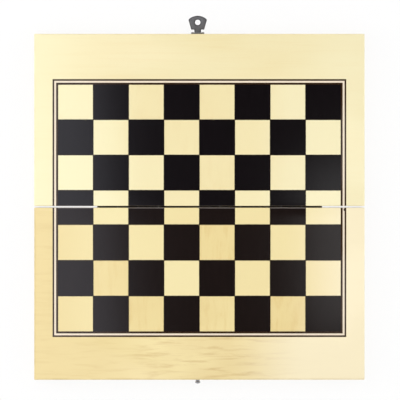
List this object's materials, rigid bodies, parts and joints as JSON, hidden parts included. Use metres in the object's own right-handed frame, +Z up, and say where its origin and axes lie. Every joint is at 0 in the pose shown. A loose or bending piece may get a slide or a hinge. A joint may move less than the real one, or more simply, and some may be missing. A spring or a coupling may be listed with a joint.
{
  "type": "folding games case",
  "caption": "Folding wooden games case opened flat: shallow trays with a checkered board outside, joined rim to rim by a strip hinge and shut by a hasp over a stud.",
  "frame": {"origin": "middle of the base of the bounding box, with the case opened flat, board faces up", "axes": "+X along the hinge, +Y towards the hasp, +Z up, square to the table"},
  "size_m": [0.29, 0.3238, 0.0244],
  "materials": {
    "veneered_board": "clear gloss lacquer over pale and near-black veneer squares",
    "basswood_rail": "satin lacquer over pale basswood",
    "wire_steel": "bright drawn wire",
    "hinge_steel": "dull rolled strip",
    "gunmetal": "gunmetal grey, tumbled",
    "stud_steel": "turned and polished"
  },
  "bodies": {
    "near_half": {"near_board": "veneered_board", "near_brad_1": "wire_steel", "near_brad_2": "wire_steel", "near_brad_3": "wire_steel", "near_brad_4": "wire_steel", "near_brad_5": "wire_steel", "near_brad_6": "wire_steel", "near_brad_7": "wire_steel", "near_brad_8": "wire_steel", "near_front_rail": "basswood_rail", "near_hinge_leaf": "hinge_steel", "near_hinge_nail_1": "hinge_steel", "near_hinge_nail_2": "hinge_steel", "near_hinge_nail_3": "hinge_steel", "near_hinge_nail_4": "hinge_steel", "near_hinge_nail_5": "hinge_steel", "near_hinge_rail": "basswood_rail", "near_left_rail": "basswood_rail", "near_right_rail": "basswood_rail", "hinge_pin": "wire_steel", "catch_stud": "stud_steel"},
    "far_half": {"far_board": "veneered_board", "far_brad_1": "wire_steel", "far_brad_2": "wire_steel", "far_brad_3": "wire_steel", "far_brad_4": "wire_steel", "far_brad_5": "wire_steel", "far_brad_6": "wire_steel", "far_brad_7": "wire_steel", "far_brad_8": "wire_steel", "far_front_rail": "basswood_rail", "far_hinge_leaf": "hinge_steel", "far_hinge_nail_1": "hinge_steel", "far_hinge_nail_2": "hinge_steel", "far_hinge_nail_3": "hinge_steel", "far_hinge_nail_4": "hinge_steel", "far_hinge_nail_5": "hinge_steel", "far_hinge_rail": "basswood_rail", "far_left_rail": "basswood_rail", "far_right_rail": "basswood_rail", "hasp_plate": "gunmetal", "hasp_pin": "wire_steel", "hasp_nail_left": "gunmetal", "hasp_nail_right": "gunmetal"},
    "hasp": {"hasp_tab": "gunmetal"}
  },
  "joints": [
    {"name": "fold", "type": "hinge", "parent": "near_half", "child": "far_half", "pos_m": [0, -0.00632, 0.00125], "axis": [-1, 0, 0], "range_deg": [-3, 178.9]},
    {"name": "hasp_swing", "type": "hinge", "parent": "far_half", "child": "hasp", "pos_m": [-0.0015, 0.14651, 0.001], "axis": [-1, 0, 0], "range_deg": [-90, 90.5]}
  ]
}
